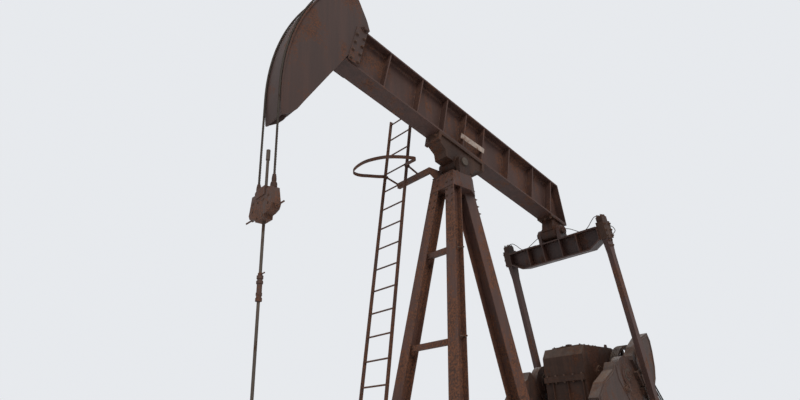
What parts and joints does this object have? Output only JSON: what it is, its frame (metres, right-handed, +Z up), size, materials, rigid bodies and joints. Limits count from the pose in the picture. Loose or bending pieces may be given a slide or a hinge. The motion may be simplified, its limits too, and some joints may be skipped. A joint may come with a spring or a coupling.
{
  "type": "pumpjack",
  "caption": "Oil well beam pump: walking beam with horsehead and hung rod on a braced post, worked by weighted cranks, gearbox, belts and motor, with a climbing ladder.",
  "frame": {"origin": "on the ground under the walking beam's pivot, in the middle plane, on the base's underside", "axes": "+X to the gearbox and motor, +Y to the ladder's side, +Z up; the horsehead and rod are at -X"},
  "size_m": [7.985, 2.1789, 6.6699],
  "materials": {
    "painted": "dark red-brown oil field paint, faded, with rust through it and runs of rust below the bolts",
    "rusted": "bare rolled steel gone to dark brown rust",
    "casting": "grimy rusted cast iron with old oil on it",
    "weight_iron": "rusted cast iron counterweights",
    "bright_steel": "worn bright steel, dulled",
    "wire": "greased steel wire rope",
    "belt_rubber": "dusty black rubber"
  },
  "bodies": {
    "base": {"base_frame": "painted", "front_legs": "painted", "rear_leg": "painted", "leg_braces": "painted", "post_cap": "painted", "saddle_blocks": "casting", "saddle_shaft": "bright_steel", "ladder_stiles": "rusted", "ladder_rungs": "rusted", "ladder_hoop": "rusted", "ladder_arm": "rusted", "gearbox_stand": "painted", "gearbox_case": "casting", "gearbox_cover": "casting", "bearing_caps": "casting", "input_shaft": "bright_steel", "sheave": "casting", "brake_drum": "casting", "brake_band": "painted", "motor_stand": "painted", "motor": "casting", "motor_sheave": "casting", "belts": "belt_rubber"},
    "beam": {"walking_beam": "painted", "center_bearing": "casting", "tail_bearing": "casting", "head_sides": "painted", "head_face": "painted", "head_ribs": "painted", "wire_anchor": "rusted", "wire_wrap": "wire"},
    "pitman_assembly": {"equalizer": "painted", "equalizer_shaft": "bright_steel", "end_blocks": "casting", "pitmans": "painted", "wrist_bearings": "casting"},
    "crank_assembly": {"crankshaft": "bright_steel", "cranks": "weight_iron", "counterweights": "weight_iron"},
    "carrier": {"wire_free": "wire", "wire_sockets": "casting", "carrier_bar": "rusted", "rod_clamps": "rusted", "polished_rod": "bright_steel"}
  },
  "joints": [
    {"name": "beam_rock", "type": "hinge", "parent": "base", "child": "beam", "pos_m": [0, 0, 4.572], "axis": [0, 1, 0], "range_deg": [-43.1, 1.35]},
    {"name": "pitman_swing", "type": "hinge", "parent": "beam", "child": "pitman_assembly", "pos_m": [2.2487, 0, 4.05348], "axis": [0, 1, 0], "range_deg": [-3, 49.5]},
    {"name": "crank_turn", "type": "hinge", "parent": "base", "child": "crank_assembly", "pos_m": [2.438, 0, 1.803], "axis": [0, 1, 0], "range_deg": [-159, 8]},
    {"name": "carrier_lift", "type": "slide", "parent": "base", "child": "carrier", "axis": [0, 0, 1], "range_m": [-2.154, 0.077]}
  ],
  "couplings": [
    {"joint": "pitman_swing", "follows": "beam_rock", "ratio": -1.1135},
    {"joint": "crank_turn", "follows": "beam_rock", "ratio": 3.6569},
    {"joint": "carrier_lift", "follows": "beam_rock", "m_per_rad": 2.85}
  ]
}
